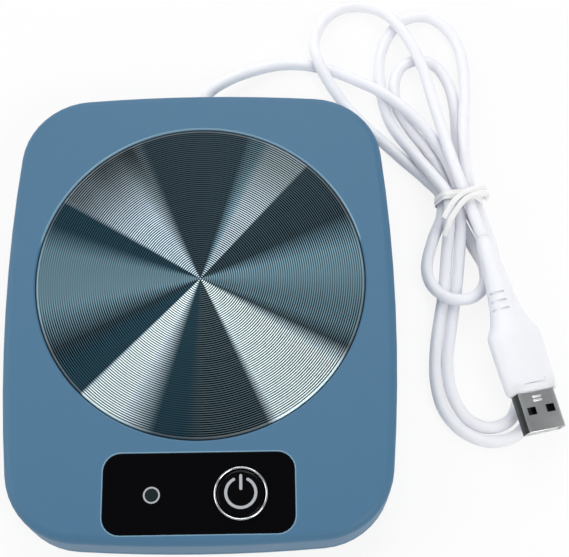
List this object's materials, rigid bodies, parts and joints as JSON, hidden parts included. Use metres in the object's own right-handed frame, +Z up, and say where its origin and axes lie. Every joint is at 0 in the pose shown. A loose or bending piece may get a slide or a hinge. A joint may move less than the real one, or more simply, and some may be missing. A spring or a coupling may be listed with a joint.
{
  "type": "electric mug warmer",
  "caption": "Low rounded mug warmer with a grooved round heating plate, a glossy control panel with a power button and lamp, and a folded, tied USB cable.",
  "frame": {"origin": "bottom centre of the housing, on the surface its feet stand on", "axes": "+Z up, +Y to the back where the cable leaves, +X to the right as seen from the control panel's side"},
  "size_m": [0.16, 0.178, 0.0202],
  "materials": {
    "housing": "matte moulded ABS",
    "plate": "turned with fine concentric grooves, anodised",
    "seal": "silicone",
    "film": "polyimide film",
    "foil": "etched alloy foil",
    "pad": "glass fibre felt",
    "clamp": "zinc plated sheet",
    "screws": "zinc plated",
    "bead": "epoxy",
    "fuse": "ceramic",
    "red_lead": "silicone insulation",
    "black_lead": "PVC insulation",
    "panel": "polished acrylic, back printed black",
    "adhesive": "double sided tape",
    "bezel": "chrome plated ABS",
    "button": "gloss black ABS",
    "lens": "smoked polycarbonate",
    "led": "clear epoxy",
    "switch": "black nylon",
    "plunger": "grey acetal",
    "board": "FR4 with solder mask",
    "chip": "moulded epoxy",
    "can": "bare can",
    "connector": "natural nylon",
    "cable": "soft white TPE",
    "tie": "white coated wire",
    "plug_steel": "nickel plated",
    "plug_white": "white LCP",
    "contacts": "gold flashed",
    "feet": "matte rubber"
  },
  "bodies": {
    "base": {"upper_housing": "housing", "lower_housing": "housing", "heating_plate": "plate", "plate_seal": "seal", "heating_film": "film", "heating_track": "foil", "insulation_pad": "pad", "heater_clamp": "clamp", "clamp_screws": "screws", "thermistor": "bead", "thermal_fuse": "fuse", "heater_leads": "red_lead", "sensor_leads": "black_lead", "control_panel": "panel", "panel_adhesive": "adhesive", "button_bezel": "bezel", "indicator_lens": "lens", "indicator_led": "led", "switch_body": "switch", "circuit_board": "board", "board_screws": "screws", "power_transistor": "chip", "controller_chip": "chip", "capacitor": "can", "chip_resistors": "chip", "wire_connectors": "connector", "supply_leads": "red_lead", "cable_saddle": "connector", "saddle_screws": "screws", "cable_grommet": "cable", "usb_cable": "cable", "cable_tie": "tie", "plug_overmould": "cable", "plug_shell": "plug_steel", "plug_tongue": "plug_white", "plug_contacts": "contacts", "housing_screws": "screws", "rubber_feet": "feet"},
    "button": {"power_button": "button"},
    "plunger": {"switch_plunger": "plunger"}
  },
  "joints": [
    {"name": "button_press", "type": "slide", "parent": "base", "child": "button", "axis": [0, 0, -1], "range_m": [0, 0.0004], "stiffness_N_per_m": 1500, "springref_m": -0.0002},
    {"name": "plunger_press", "type": "slide", "parent": "base", "child": "plunger", "axis": [0, 0, -1], "range_m": [0, 0.0004]}
  ],
  "couplings": [
    {"joint": "plunger_press", "follows": "button_press", "ratio": 1}
  ]
}
